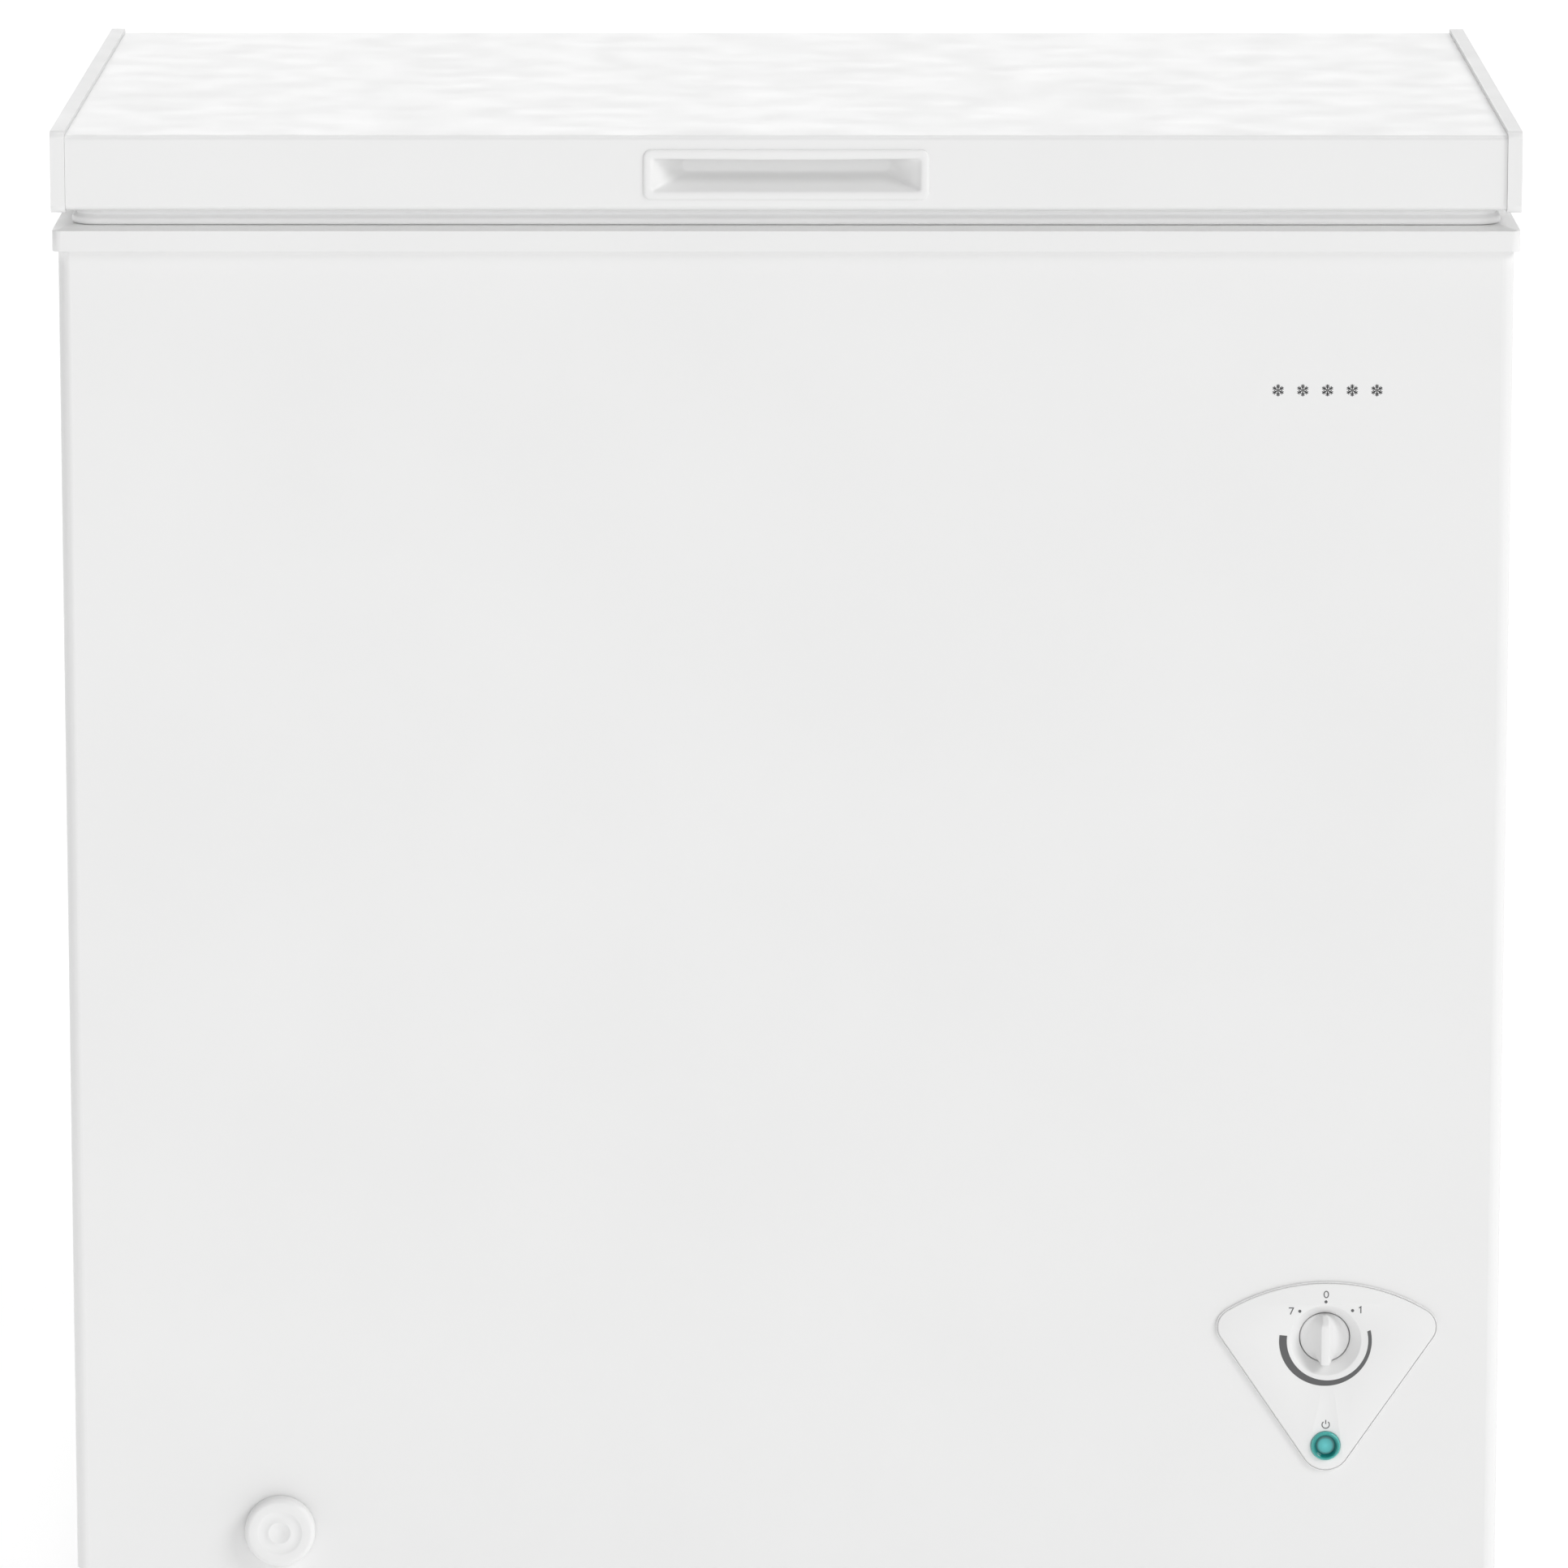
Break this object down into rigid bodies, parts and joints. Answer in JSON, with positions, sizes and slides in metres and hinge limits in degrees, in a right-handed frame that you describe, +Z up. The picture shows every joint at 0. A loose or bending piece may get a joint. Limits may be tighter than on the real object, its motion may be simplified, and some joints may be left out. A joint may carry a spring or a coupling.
{
  "type": "chest freezer",
  "caption": "White chest freezer with a hinged lid, recessed handle, fan-shaped control panel, drain cap and wire basket.",
  "frame": {"origin": "middle of the freezer's bounding box, on the floor", "axes": "+Z up, +X to the right of a person facing the front, +Y to the back, so the front faces -Y"},
  "size_m": [0.815, 0.523, 0.85],
  "materials": {
    "white_enamel": "gloss",
    "rear_steel": "satin",
    "galvanised_steel": "satin",
    "insulation_foam": "matte",
    "liner_sheet": "satin",
    "white_plastic": "satin",
    "foot_plastic": "matte",
    "screw_steel": "satin",
    "green_lens": "gloss",
    "inner_plastic": "matte",
    "copper": "satin",
    "compressor_enamel": "satin",
    "motor_iron": "matte",
    "black_rubber": "matte",
    "dark_plastic": "matte",
    "coil_aluminium": "satin",
    "hinge_steel": "satin",
    "spring_steel": "satin",
    "grey_rubber": "matte",
    "gasket_vinyl": "matte",
    "basket_wire": "gloss"
  },
  "bodies": {
    "cabinet": {"cabinet_wrap": "white_enamel", "rear_panel": "rear_steel", "base_plate": "galvanised_steel", "cabinet_foam": "insulation_foam", "inner_liner": "liner_sheet", "bay_divider": "galvanised_steel", "rim_trim": "white_plastic", "foot_front_left": "foot_plastic", "foot_front_right": "foot_plastic", "foot_rear_left": "foot_plastic", "foot_rear_right": "foot_plastic", "foot_screws": "screw_steel", "control_panel": "white_plastic", "power_light_lens": "green_lens", "power_light_holder": "inner_plastic", "thermostat_body": "galvanised_steel", "thermostat_bulb": "copper", "compressor_shell_lower": "compressor_enamel", "compressor_shell_upper": "compressor_enamel", "compressor_motor": "motor_iron", "compressor_grommets": "black_rubber", "compressor_bolts": "screw_steel", "compressor_relay_cover": "dark_plastic", "compressor_base_rail": "galvanised_steel", "condenser_coil": "copper", "evaporator_coil": "coil_aluminium", "filter_drier": "copper", "refrigerant_lines": "copper", "side_vent_grille": "white_plastic", "rear_bay_cover": "rear_steel", "bay_cover_screws": "screw_steel", "cord_gland": "black_rubber", "hinge_base_left": "hinge_steel", "hinge_base_right": "hinge_steel", "hinge_screws": "screw_steel", "hinge_cover_left": "white_plastic", "hinge_cover_right": "white_plastic", "hinge_spring_left": "spring_steel", "hinge_spring_right": "spring_steel", "hinge_pins": "screw_steel", "drain_tube": "inner_plastic"},
    "lid": {"lid_skin": "white_enamel", "lid_end_cap_left": "white_plastic", "lid_end_cap_right": "white_plastic", "lid_foam": "insulation_foam", "lid_liner": "white_plastic", "lid_gasket": "gasket_vinyl", "lid_handle": "white_plastic", "hinge_arm_left": "hinge_steel", "hinge_arm_right": "hinge_steel", "hinge_arm_screws": "screw_steel"},
    "slider_left": {"hinge_slider_left": "dark_plastic"},
    "slider_right": {"hinge_slider_right": "dark_plastic"},
    "knob": {"thermostat_knob": "white_plastic"},
    "spout": {"drain_spout": "white_plastic"},
    "cap": {"drain_cap": "white_plastic"},
    "stopper": {"drain_stopper": "grey_rubber"},
    "basket": {"basket_frame": "basket_wire", "basket_mesh": "basket_wire", "basket_grips": "inner_plastic"}
  },
  "joints": [
    {"name": "lid_hinge", "type": "hinge", "parent": "cabinet", "child": "lid", "pos_m": [0, 0.2505, 0.806], "axis": [-1, 0, 0], "range_deg": [0, 80], "stiffness_Nm_per_rad": 5, "springref_deg": 80.21},
    {"name": "left_spring_slide", "type": "slide", "parent": "cabinet", "child": "slider_left", "axis": [0, 0, 1], "range_m": [0, 0.0046], "deforming": ["hinge_spring_left"]},
    {"name": "right_spring_slide", "type": "slide", "parent": "cabinet", "child": "slider_right", "axis": [0, 0, 1], "range_m": [0, 0.0046], "deforming": ["hinge_spring_right"]},
    {"name": "thermostat_turn", "type": "hinge", "parent": "cabinet", "child": "knob", "pos_m": [0.3059, -0.2525, 0.1603], "axis": [0, 1, 0], "range_deg": [0, 315]},
    {"name": "drain_pull", "type": "slide", "parent": "cabinet", "child": "spout", "axis": [0, -1, 0], "range_m": [0, 0.018]},
    {"name": "drain_cap_turn", "type": "hinge", "parent": "spout", "child": "cap", "pos_m": [-0.288, -0.2525, 0.049], "axis": [0, -1, 0], "range_deg": [0, 180]},
    {"name": "stopper_lift", "type": "slide", "parent": "cabinet", "child": "stopper", "axis": [0, 0, 1], "range_m": [0, 0.03]},
    {"name": "basket_slide", "type": "slide", "parent": "cabinet", "child": "basket", "axis": [-1, 0, 0], "range_m": [0, 0.48]}
  ],
  "couplings": [
    {"joint": "left_spring_slide", "follows": "lid_hinge", "m_per_rad": 0.0032225},
    {"joint": "right_spring_slide", "follows": "lid_hinge", "m_per_rad": 0.0032225}
  ]
}
